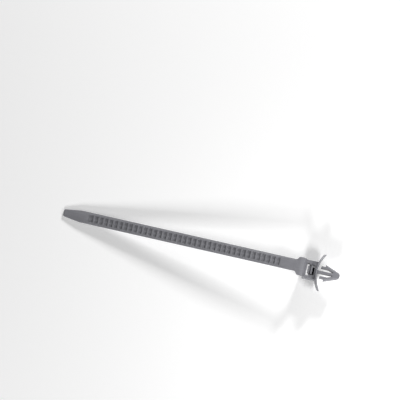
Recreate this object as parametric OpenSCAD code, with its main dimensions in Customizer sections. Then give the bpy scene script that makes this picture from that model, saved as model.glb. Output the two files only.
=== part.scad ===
// Push mount cable tie, moulded as one piece.
// It is drawn as it comes out of the mould, with the strap level along X,
// the pocketed side up and the push mount towards +X, and is then tipped
// as it comes to rest: on the nose of the strap and the lower rim of the wing.

/* [Strap] */
// Width of the strap
strap_w = 6.8; // [6.4:0.1:7.2]
// Thickness of the strap, the neck and the root wall of the head
strap_t = 1.2; // [1.1:0.05:1.4]
// Length of the strap from the nose to where the neck widens
strap_len = 134.2; // [132:0.2:180]
// Length over which the nose narrows
nose_len = 10; // [7:0.5:12]
// Width of the blunt end of the nose
nose_w = 4.2; // [3.4:0.1:5]
// Corner radius of the blunt end
nose_r = 0.9; // [0.5:0.1:1.2]
// Width of the sloped edge on the pocketed side
bevel_w = 1.2; // [0.6:0.05:1.25]
// Drop of the sloped edge
bevel_h = 0.35; // [0.2:0.05:0.5]

/* [Ladder pockets] */
// Number of pockets
pocket_count = 39; // [10:1:39]
// Distance from one pocket to the next
pocket_pitch = 2.85; // [2.6:0.01:2.88]
// Length of a pocket along the strap
pocket_len = 1.9; // [1.4:0.05:2.1]
// Width of a pocket across the strap
pocket_w = 4.2; // [3.6:0.1:4.3]
// Depth of a pocket
pocket_depth = 0.7; // [0.5:0.05:0.8]
// Length of the first pocket, which is longer towards the nose
first_len = 2.9; // [2.2:0.05:3.2]
// Plain strap between the nose and the first pocket
plain_len = 14.4; // [13:0.1:16]

/* [Neck] */
// Radius of the bend along the middle of the strap
bend_r = 3.4; // [3:0.1:3.8]
// Distance from where the neck widens to the far side of the root wall
neck_len = 6.4; // [6:0.1:7]
// Distance over which the neck widens to the head
flare_len = 2.7; // [2.2:0.1:3.4]
// Length of the pad on the smooth side
pad_len = 2; // [1:0.1:3]
// Width of the pad
pad_w = 3.6; // [2.5:0.1:4.5]
// Height of the pad
pad_h = 0.8; // [0.4:0.1:1]

/* [Head] */
// Width of the head
head_w = 10.4; // [9.8:0.1:11]
// Length of the slot between the root wall and the wing wall
slot_len = 5; // [4.8:0.1:5.6]
// Clearance of the strap in the slot on each side
slot_gap = 0.15; // [0.1:0.05:0.3]
// Height of the head
head_h = 6.4; // [6:0.1:7]
// Drop from the pocketed side of the strap to the exit rim
exit_drop = 4.7; // [4.6:0.1:5.5]
// Thickness of the wall between the slot and the wing
wing_wall = 0.75; // [0.6:0.05:1.2]
// Reach of the ledge that presses the strap to the pawl
ledge_t = 0.5; // [0.3:0.05:0.6]
// Height of the ledge along the slot
ledge_h = 1; // [0.6:0.1:1.4]
// Width of each guide block beside the pawl
guide_w = 0.7; // [0.5:0.05:0.8]

/* [Pawl] */
// Width of the pawl
pawl_w = 4.8; // [4.6:0.1:5]
// Clearance of the teeth in a pocket on each side
tooth_gap = 0.2; // [0.1:0.05:0.3]
// Opening between the root wall and the teeth
pawl_open = 1.15; // [1.05:0.05:1.3]
// Height of a tooth
tooth_h = 0.6; // [0.5:0.05:0.7]
// Thickness of the toothed blade
blade_t = 0.75; // [0.6:0.05:0.9]
// Groove between the blade and the rib
groove_t = 0.35; // [0.3:0.05:0.5]
// Depth of the groove
groove_h = 1.2; // [0.8:0.1:1.6]
// Thickness of the rib behind the blade
rib_t = 1; // [0.9:0.05:1.1]
// Rise of the rib above the exit rim
rib_rise = 0.8; // [0.4:0.1:1]
// Drop from the exit rim to the end of the blade
blade_drop = 0.4; // [0.2:0.1:0.8]
// Thickness of the hinge of the pawl
hinge_t = 0.9; // [0.7:0.05:1.2]

/* [Wing] */
// Length of the oval wing across the tie
wing_len = 21.2; // [19:0.1:23]
// Height of the oval wing
wing_h = 13.2; // [12:0.1:14]
// Thickness of the wing
wing_t = 0.9; // [0.7:0.05:1.2]
// Reach of the wing ends towards the panel
wing_sag = 3.2; // [2.4:0.1:3.4]

/* [Push mount] */
// Length of the push mount from the wing to its tip
mount_len = 12.95; // [11.5:0.05:14.5]
// Distance from the wing to the shoulders behind the panel
shoulder_gap = 4.2; // [4:0.1:4.8]
// Diameter over the shoulders
shoulder_d = 9.4; // [9:0.1:10]
// Radius of the rounded tip
tip_r = 2; // [1.6:0.1:2.4]
// Depth of the push mount
mount_t = 5; // [4.4:0.1:5.4]
// Width of the sloped edges of the arms
mount_bevel = 0.6; // [0.3:0.1:0.8]
// Thickness of the middle stem
stem_t = 1.3; // [1:0.05:1.6]
// Thickness of each arm
arm_t = 1.6; // [1.4:0.05:1.8]
// Length of the solid tip
tip_len = 4.1; // [3.6:0.1:4.6]
// Length of the heel in front of each shoulder
heel_len = 2.3; // [1.8:0.1:2.6]
// Thickness of each heel
heel_t = 1.1; // [0.9:0.05:1.2]
// Diameter over the heels, for the panel hole
heel_d = 6.8; // [6.4:0.1:7]

/* [Hidden] */
$fn = 96;
// Overlap that makes neighbouring forms one solid
lap = 0.3;
// Length of the cutting forms, past every face that they cut
past = 32;
// Corners of the wing's oval outline
oval_corners = 72;
half_t = strap_t / 2;
exit_z = half_t - exit_drop;
entry_z = exit_z - head_h;
axis_z = (exit_z + entry_z) / 2;
neck_x = half_t - neck_len;
nose_x = neck_x - strap_len;
first_x = nose_x + plain_len;
slot_w = strap_w + 2 * slot_gap;
// The strap passes between the ledge and the guide blocks
guide_x = half_t + ledge_t + strap_t + slot_gap;
wall_x = half_t + slot_len;
wing_x = wall_x + wing_wall;
front_x = wing_x + wing_t;
tip_x = front_x + mount_len;
shoulder_x = front_x + shoulder_gap;
blade_x = half_t + pawl_open + tooth_h;
rib_x = blade_x + blade_t + groove_t;
// The neck's sides are two equal arcs, one hollow and one full
flare_rise = (head_w - strap_w) / 2;
flare_r = (flare_len * flare_len + flare_rise * flare_rise) / (4 * flare_rise);
flare_turn = 2 * atan2(flare_rise, flare_len);
// Radius of the wing's back, from its length and its reach
wing_r = (wing_len * wing_len / 4 + wing_sag * wing_sag) / (2 * wing_sag);
// Slope of the nose's sides, from the corner arc to the full width
nose_dx = nose_len - nose_r;
nose_dy = strap_w / 2 - nose_w / 2 + nose_r;
nose_slope = atan2(nose_dy, nose_dx) - asin(nose_r / norm([nose_dx, nose_dy]));
// Slope of the strap's sloped edge
bevel_slope = atan2(bevel_h, bevel_w);
// Slope of the arms, from the shoulder to the arc of the tip
arm_dx = mount_len - shoulder_gap - tip_r;
arm_slope = atan2(shoulder_d / 2, arm_dx) - asin(tip_r / norm([arm_dx, shoulder_d / 2]));
arm_in = shoulder_d / 2 - arm_t / cos(arm_slope);
heel_in = heel_d / 2 - heel_t;
gap_end_x = tip_x - tip_len;
// Tip that brings the nose and the wing's lower rim to one level
wing_low_z = axis_z - wing_h / 2;
rest_tip = atan2(-half_t - wing_low_z, wing_x - nose_x);
nose_end = nose_x * cos(rest_tip) - (half_t - bevel_h) * sin(rest_tip);
mount_end = tip_x * cos(rest_tip) - (axis_z - mount_t / 2) * sin(rest_tip);
floor_z = nose_x * sin(rest_tip) - half_t * cos(rest_tip);

// Points of an arc about a centre, from one angle to another
function arc_points(centre, radius, from, to, steps = 8) = [
    for (i = [0 : steps])
        let (a = from + (to - from) * i / steps) centre + radius * [cos(a), sin(a)]
];

// Side view of the strap, its bend and the root wall of the head
module side_view() {
    translate([nose_x, -half_t]) square([-bend_r - nose_x, strap_t]);
    translate([-half_t, entry_z]) square([strap_t, -bend_r - entry_z]);
    translate([-bend_r, -bend_r]) intersection() {
        difference() {
            circle(r = bend_r + half_t);
            circle(r = bend_r - half_t);
        }
        square(bend_r + strap_t);
    }
}

// Half of the strap and neck seen from above
module half_plan() {
    corner = [nose_x + nose_r, nose_w / 2 - nose_r];
    polygon(concat(
        [[nose_x, -lap]],
        arc_points(corner, nose_r, 180, 90 + nose_slope),
        [
            [nose_x + nose_len, strap_w / 2]
        ],
        arc_points([neck_x, strap_w / 2 + flare_r], flare_r, -90, flare_turn - 90),
        arc_points([neck_x + flare_len, head_w / 2 - flare_r], flare_r, 90 + flare_turn, 90),
        [
            [wing_x, head_w / 2],
            [wing_x, -lap]
        ]
    ));
}

// Wedge that slopes one straight edge of the pocketed side, along +X from the origin
module bevel_cut(length) {
    rotate([-bevel_slope, 0, 0])
        translate([0, -2 * bevel_w, 0]) cube([length, 4 * bevel_w, strap_t]);
}

module bevels() {
    side_x = nose_x + nose_len;
    translate([0, 0, half_t - bevel_h]) {
        for (side = [0, 1]) mirror([0, side, 0]) translate([side_x, strap_w / 2, 0]) {
            bevel_cut(neck_x - side_x);
            rotate(nose_slope) mirror([1, 0, 0]) bevel_cut(nose_len + bevel_w);
        }
        translate([nose_x, -strap_w, 0]) rotate(90) bevel_cut(2 * strap_w);
    }
}

module pocket_row(start_x, length, count) {
    for (i = [0 : count - 1])
        translate([start_x + i * pocket_pitch, -pocket_w / 2, half_t - pocket_depth])
            cube([length, pocket_w, strap_t]);
}

module pockets() {
    pocket_row(first_x, first_len, 1);
    pocket_row(first_x + first_len + pocket_pitch - pocket_len, pocket_len, pocket_count - 1);
}

module strap() {
    difference() {
        intersection() {
            rotate([90, 0, 0]) linear_extrude(height = past, center = true) side_view();
            linear_extrude(height = past, center = true) {
                half_plan();
                mirror([0, 1]) half_plan();
            }
        }
        bevels();
        pockets();
    }
    translate([neck_x - pad_len, -pad_w / 2, -half_t - pad_h]) cube([pad_len, pad_w, pad_h + half_t]);
}

// Side walls and wing wall of the head, its ledge, and the blocks that keep the strap in its passage
module head() {
    difference() {
        translate([0, -head_w / 2, entry_z]) cube([wing_x + wing_t, head_w, head_h]);
        translate([-lap, -slot_w / 2, entry_z - lap]) cube([wall_x + lap, slot_w, head_h + 2 * lap]);
        // The walls stop in the middle of the curved wing
        translate([wing_x + wing_r, 0, axis_z]) cylinder(r = wing_r - wing_t / 2, h = past, center = true);
    }
    translate([0, -slot_w / 2 - lap, exit_z - ledge_h]) cube([half_t + ledge_t, slot_w + 2 * lap, ledge_h]);
    for (side = [0, 1]) mirror([0, side, 0])
        translate([guide_x, slot_w / 2 - guide_w, entry_z]) cube([wall_x + lap - guide_x, guide_w + lap, head_h]);
}

// Side view of the pawl, with its hinge on the wing wall at the entry
module pawl_view() {
    polygon([
        [wall_x + lap, entry_z],
        [wall_x + lap, entry_z + hinge_t],
        [rib_x + rib_t, entry_z + 2 * hinge_t],
        [rib_x + rib_t, exit_z + rib_rise],
        [rib_x, exit_z + rib_rise],
        [rib_x, exit_z - groove_h],
        [blade_x + blade_t, exit_z - groove_h],
        [blade_x + blade_t, exit_z - blade_drop],
        [blade_x, exit_z - blade_drop],
        [blade_x, entry_z + 2 * hinge_t],
        [rib_x, entry_z]
    ]);
}

// Side view of the teeth, each with its catch face towards the exit
module teeth_view() {
    for (i = [0, 1]) translate([blade_x, exit_z - blade_drop - i * pocket_pitch])
        polygon([[lap, 0], [-tooth_h, 0], [0, -pocket_len], [lap, -pocket_len]]);
}

module pawl() {
    rotate([90, 0, 0]) {
        linear_extrude(height = pawl_w, center = true) pawl_view();
        linear_extrude(height = pocket_w - 2 * tooth_gap, center = true) teeth_view();
    }
}

// Oval plate, bent about Z so that its ends reach towards the panel
module wing() {
    oval = [
        for (i = [0 : oval_corners - 1])
            let (a = 360 * i / oval_corners) [wing_h / 2 * cos(a), wing_len / 2 * sin(a)]
    ];
    intersection() {
        translate([wing_x + wing_r, 0, axis_z]) linear_extrude(height = past, center = true) difference() {
            circle(r = wing_r);
            circle(r = wing_r - wing_t);
        }
        translate([wing_x - lap, 0, axis_z]) rotate([0, 90, 0])
            linear_extrude(height = 2 * lap + wing_sag + 2 * wing_t) polygon(oval);
    }
}

// Half of the push mount seen from above, without its stem
module half_mount_plan() {
    bend_x = shoulder_x + max(0, (arm_in - heel_in) / tan(arm_slope));
    polygon(concat(
        [
            [gap_end_x, -lap],
            [gap_end_x, arm_in - (gap_end_x - shoulder_x) * tan(arm_slope)],
            [bend_x, heel_in],
            [shoulder_x - heel_len, heel_in],
            [shoulder_x - heel_len, heel_d / 2],
            [shoulder_x, heel_d / 2],
            [shoulder_x, shoulder_d / 2]
        ],
        arc_points([tip_x - tip_r, 0], tip_r, 90 - arm_slope, 0)
    ));
}

// Arrowhead: a stem, two arms with shoulders, and heels that fit the panel hole
module push_mount() {
    difference() {
        translate([0, 0, axis_z - mount_t / 2]) linear_extrude(height = mount_t) {
            half_mount_plan();
            mirror([0, 1]) half_mount_plan();
            translate([wing_x + wing_t / 2, -stem_t / 2]) square([gap_end_x + lap - wing_x - wing_t / 2, stem_t]);
        }
        for (side = [0, 1]) mirror([0, side, 0])
            for (face = [0, 1]) translate([shoulder_x, shoulder_d / 2, axis_z]) mirror([0, 0, face])
                rotate(-arm_slope) translate([-lap, 0, mount_t / 2 - mount_bevel]) rotate([45, 0, 0])
                    translate([0, 0, -past / 2]) cube([past, mount_t, past]);
    }
}

module moulded_tie() {
    strap();
    head();
    pawl();
    wing();
    push_mount();
}

// Tipped to rest on the nose and the wing, with the origin under the middle of the length
module cable_tie() {
    color("dimgray") translate([-(nose_end + mount_end) / 2, 0, -floor_z])
        rotate([0, -rest_tip, 0]) moulded_tie();
}

cable_tie();
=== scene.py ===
import bpy
import math
from mathutils import Matrix, Vector

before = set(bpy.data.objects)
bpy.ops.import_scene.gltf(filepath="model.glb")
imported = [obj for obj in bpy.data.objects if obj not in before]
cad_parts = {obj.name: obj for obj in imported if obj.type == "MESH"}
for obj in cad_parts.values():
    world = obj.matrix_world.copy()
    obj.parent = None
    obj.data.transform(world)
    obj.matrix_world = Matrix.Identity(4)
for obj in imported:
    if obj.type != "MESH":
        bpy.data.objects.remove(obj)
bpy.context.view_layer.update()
scene = bpy.context.scene
mm = 0.001  # the frame is in metres
white = (1.0, 1.0, 1.0, 1.0)


def linearColour(hexCode):
    # sRGB hex to the linear values that the shaders take
    channels = [int(hexCode[i:i + 2], 16) / 255 for i in (1, 3, 5)]
    return tuple(c / 12.92 if c <= 0.04045 else ((c + 0.055) / 1.055) ** 2.4 for c in channels) + (1.0,)


def addNode(tree, kind, settings=None, links=None):
    # settings: a node property or an input's name or number; links: input to (node, output)
    node = tree.nodes.new(kind)
    for key, value in (settings or {}).items():
        if isinstance(key, str) and hasattr(node, key):
            setattr(node, key, value)
        else:
            node.inputs[key].default_value = value
    for key, (source, output) in (links or {}).items():
        tree.links.new(source.outputs[output], node.inputs[key])
    return node


def directionTo(azimuth, elevation):
    # Unit vector from the tie towards a camera or lamp, in degrees; azimuth 0 is on the -Y side
    turn, rise = math.radians(azimuth), math.radians(elevation)
    return Vector((math.sin(turn) * math.cos(rise), -math.cos(turn) * math.cos(rise), math.sin(rise)))


# Moulded nylon
nylon = {
    "colour": "#7f7f84",
    "deepColour": "#75757a",
    "toneRange": (0.38, 0.62),   # noise values between which the tone runs from deep to full
    "roughness": (0.42, 0.54),
    "glossRange": (0.35, 0.65),  # noise values between which the roughness runs
    "ior": 1.53,
    "depthWeight": 0.06,         # share of the light that passes under the surface
    "depth": 0.4,                # mm, how deep that light goes
    "blotch": 9.0,               # mm, uneven pigment
    "flow": (14.0, 0.7),         # mm, flow marks along and across the strap
    "flowShare": 0.4,            # flow marks against pigment blotches in the tone
    "flowBump": (0.35, 0.02),    # strength, and depth in mm
    "grain": 0.22,               # mm, spark-eroded mould face, really about 0.05, drawn coarser to show
    "grainBump": (0.8, 0.022),   # strength, and depth in mm
}


def makeMouldedNylon(name, look):
    # Injection-moulded PA66, mid grey: a satin face with soft highlights, faint flow marks
    # along the strap, a fine grain from the mould and a slightly waxy depth in thin parts
    material = bpy.data.materials.new(name)
    material.use_nodes = True
    tree = material.node_tree
    shader = tree.nodes["Principled BSDF"]
    place = addNode(tree, "ShaderNodeTexCoord")

    # pigment blotches and flow marks give the tone and the gloss
    blotch = addNode(tree, "ShaderNodeTexNoise",
                     {"Scale": 1 / (look["blotch"] * mm), "Detail": 4.0, "Roughness": 0.55},
                     {"Vector": (place, "Object")})
    along, across = look["flow"]
    stretch = addNode(tree, "ShaderNodeMapping",
                      {"Scale": (1 / (along * mm), 1 / (across * mm), 1 / (across * mm))},
                      {"Vector": (place, "Object")})
    flow = addNode(tree, "ShaderNodeTexNoise", {"Scale": 1.0, "Detail": 3.0},
                   {"Vector": (stretch, "Vector")})
    mixed = addNode(tree, "ShaderNodeMix", {"data_type": "FLOAT", 0: look["flowShare"]},
                    {2: (blotch, "Fac"), 3: (flow, "Fac")})
    tone = addNode(tree, "ShaderNodeValToRGB", None, {"Fac": (mixed, 0)})
    colours = (look["deepColour"], look["colour"])
    for stop, position, colour in zip(tone.color_ramp.elements, look["toneRange"], colours):
        stop.position = position
        stop.color = linearColour(colour)
    gloss = addNode(tree, "ShaderNodeMapRange",
                    {"From Min": look["glossRange"][0], "From Max": look["glossRange"][1],
                     "To Min": look["roughness"][0], "To Max": look["roughness"][1]},
                    {"Value": (mixed, 0)})

    # flow marks and grain in the relief
    grain = addNode(tree, "ShaderNodeTexNoise",
                    {"Scale": 1 / (look["grain"] * mm), "Detail": 2.0, "Roughness": 0.5},
                    {"Vector": (place, "Object")})
    strength, depth = look["flowBump"]
    flowRelief = addNode(tree, "ShaderNodeBump", {"Strength": strength, "Distance": depth * mm},
                         {"Height": (flow, "Fac")})
    strength, depth = look["grainBump"]
    grainRelief = addNode(tree, "ShaderNodeBump", {"Strength": strength, "Distance": depth * mm},
                          {"Height": (grain, "Fac"), "Normal": (flowRelief, "Normal")})

    tree.links.new(tone.outputs["Color"], shader.inputs["Base Color"])
    tree.links.new(gloss.outputs["Result"], shader.inputs["Roughness"])
    tree.links.new(grainRelief.outputs["Normal"], shader.inputs["Normal"])
    shader.inputs["IOR"].default_value = look["ior"]
    shader.inputs["Subsurface Weight"].default_value = look["depthWeight"]
    shader.inputs["Subsurface Radius"].default_value = (1.0, 1.0, 1.0)
    shader.inputs["Subsurface Scale"].default_value = look["depth"] * mm
    return material


# The tie
mouldedEdges = {
    "radius": 0.07,     # mm, edge left by the mould cutter
    "segments": 2,
    "sharpFrom": 24,    # degrees
    "weld": 0.004,      # mm
    "flatWeight": 80,   # how far the large faces keep their own shading
}


def roundMouldedEdges(piece, sizes):
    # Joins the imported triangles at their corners, then rounds every sharp edge
    group = bpy.data.node_groups.new("weldAndSmooth", "GeometryNodeTree")
    group.interface.new_socket("Geometry", in_out="INPUT", socket_type="NodeSocketGeometry")
    group.interface.new_socket("Geometry", in_out="OUTPUT", socket_type="NodeSocketGeometry")
    inside = addNode(group, "NodeGroupInput")
    weld = addNode(group, "GeometryNodeMergeByDistance", {"Distance": sizes["weld"] * mm},
                   {"Geometry": (inside, "Geometry")})
    smooth = addNode(group, "GeometryNodeSetShadeSmooth", None, {"Geometry": (weld, "Geometry")})
    addNode(group, "NodeGroupOutput", None, {"Geometry": (smooth, "Geometry")})
    welded = piece.modifiers.new("weldAndSmooth", "NODES")
    welded.node_group = group
    edge = piece.modifiers.new("mouldedEdges", "BEVEL")
    edge.width = sizes["radius"] * mm
    edge.segments = sizes["segments"]
    edge.limit_method = "ANGLE"
    edge.angle_limit = math.radians(sizes["sharpFrom"])
    edge.use_clamp_overlap = False
    edge.loop_slide = False
    flat = piece.modifiers.new("flatFaces", "WEIGHTED_NORMAL")
    flat.mode = "FACE_AREA_WITH_ANGLE"
    flat.weight = sizes["flatWeight"]


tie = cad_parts["cable_tie"]
roundMouldedEdges(tie, mouldedEdges)
tie.data.materials.clear()
tie.data.materials.append(makeMouldedNylon("mouldedNylon", nylon))
print("tie: moulded nylon and rounded edges")

# Camera, at the photograph's view of the tie
viewPoint = {
    "aim": (-4.11, 0.0, 7.372),  # mm, the point on the tie that the view turns about
    "azimuth": -7.07,            # degrees, as are the next two
    "elevation": 80.0,
    "roll": 20.51,
    "distance": 900.0,           # mm
    "sensor": 36,                # mm
    "aimPixel": (194.7, 242.2),  # where the aim point falls in the 400 pixel square
    "pixelsPerMm": 1.772,
    "frame": 400,                # pixels
    "clip": (0.01, 10),          # m
}


def makeCamera(look):
    turn, roll = math.radians(look["azimuth"]), math.radians(look["roll"])
    back = directionTo(look["azimuth"], look["elevation"])
    right = Vector((math.cos(turn), math.sin(turn), 0))
    up = back.cross(right)
    side = right * math.cos(roll) + up * math.sin(roll)
    top = up * math.cos(roll) - right * math.sin(roll)
    data = bpy.data.cameras.new("camera")
    camera = bpy.data.objects.new("camera", data)
    scene.collection.objects.link(camera)
    data.sensor_fit = "HORIZONTAL"
    data.sensor_width = look["sensor"]
    size = look["frame"]
    span = size / look["pixelsPerMm"]  # mm seen across the frame at the aim point
    data.lens = data.sensor_width * look["distance"] / span
    # the camera stands beside the aim's line, which puts the aim on its pixel without a lens shift
    offX = (size / 2 - look["aimPixel"][0]) / look["pixelsPerMm"]
    offY = (look["aimPixel"][1] - size / 2) / look["pixelsPerMm"]
    place = Vector(look["aim"]) + back * look["distance"] + side * offX + top * offY
    turned = Matrix((side, top, back)).transposed()
    camera.matrix_world = Matrix.Translation(place * mm) @ turned.to_4x4()
    data.clip_start, data.clip_end = look["clip"]
    scene.camera = camera


makeCamera(viewPoint)
print("camera placed")

# Floor and room
studio = {
    "floor": "#fbfbfb",
    "floorRoughness": 0.9,
    "floorSize": 4.0,       # m
    "lift": (0.15, 1.0),    # white that only the camera and reflections see, near the tie and far off
    "farFrom": (0.3, 0.9),  # m, where the paper starts and ends to turn into the white room
    "room": (0.06, 1.0),    # light that the room gives, and how it looks
}


def seenDirectly(tree):
    # 1 for rays from the camera and for what a shiny or clear surface shows, 0 for lighting rays
    ray = addNode(tree, "ShaderNodeLightPath")
    mirror = addNode(tree, "ShaderNodeMath", {"operation": "MAXIMUM"},
                     {0: (ray, "Is Camera Ray"), 1: (ray, "Is Glossy Ray")})
    return addNode(tree, "ShaderNodeMath", {"operation": "MAXIMUM"},
                   {0: (mirror, 0), 1: (ray, "Is Transmission Ray")})


def makePaperFloor(look):
    # Matt white paper: it takes the tie's shadow and has no shine of its own
    paper = bpy.data.materials.new("matPaper")
    paper.use_nodes = True
    tree = paper.node_tree
    shader = tree.nodes["Principled BSDF"]
    shader.inputs["Base Color"].default_value = linearColour(look["floor"])
    shader.inputs["Roughness"].default_value = look["floorRoughness"]
    shader.inputs["Emission Color"].default_value = white
    place = addNode(tree, "ShaderNodeTexCoord")
    away = addNode(tree, "ShaderNodeVectorMath", {"operation": "LENGTH"}, {0: (place, "Object")})
    fade = addNode(tree, "ShaderNodeMapRange",
                   {"From Min": look["farFrom"][0], "From Max": look["farFrom"][1],
                    "To Min": look["lift"][0], "To Max": look["lift"][1]},
                   {"Value": (away, "Value")})
    lift = addNode(tree, "ShaderNodeMath", {"operation": "MULTIPLY"},
                   {0: (seenDirectly(tree), 0), 1: (fade, "Result")})
    tree.links.new(lift.outputs[0], shader.inputs["Emission Strength"])
    bpy.ops.mesh.primitive_plane_add(size=look["floorSize"], location=(0, 0, 0))
    floor = bpy.context.object
    floor.name = "paperFloor"
    floor.data.materials.append(paper)


def makeRoom(look):
    world = bpy.data.worlds.new("softRoom")
    scene.world = world
    world.use_nodes = True
    background = world.node_tree.nodes["Background"]
    background.inputs["Color"].default_value = white
    strength = addNode(world.node_tree, "ShaderNodeMapRange",
                       {"To Min": look["room"][0], "To Max": look["room"][1]},
                       {"Value": (seenDirectly(world.node_tree), 0)})
    world.node_tree.links.new(strength.outputs[0], background.inputs["Strength"])


# Lamps: azimuth and elevation in degrees, lengths in metres. The light is what the lamp gives
# a white floor at its aim, where 1 renders as white
middle = (0.0, 0.0, 0.0)
headEnd = (0.078, 0.0, 0.008)
lamps = {
    "cameraSide": {"azimuth": 4, "elevation": 24, "distance": 1.0, "aim": middle,
                   "size": 0.2, "light": 0.27},
    "windowSide": {"azimuth": 168, "elevation": 21, "distance": 1.0, "aim": middle,
                   "size": 0.15, "light": 0.34},
    "headSide": {"azimuth": 60, "elevation": 50, "distance": 0.18, "aim": headEnd,
                 "size": 0.07, "light": 0.44},
}


def makeLamps(table):
    for name, look in table.items():
        toLamp = directionTo(look["azimuth"], look["elevation"])
        data = bpy.data.lights.new(name, "AREA")
        data.energy = look["light"] * math.pi ** 2 * look["distance"] ** 2 / toLamp.z
        data.size = look["size"]
        lamp = bpy.data.objects.new(name, data)
        scene.collection.objects.link(lamp)
        turned = toLamp.to_track_quat("Z", "Y").to_matrix().to_4x4()
        lamp.matrix_world = Matrix.Translation(Vector(look["aim"]) + toLamp * look["distance"]) @ turned


makePaperFloor(studio)
makeRoom(studio)
makeLamps(lamps)
scene.view_settings.view_transform = "Standard"
print("studio lit")
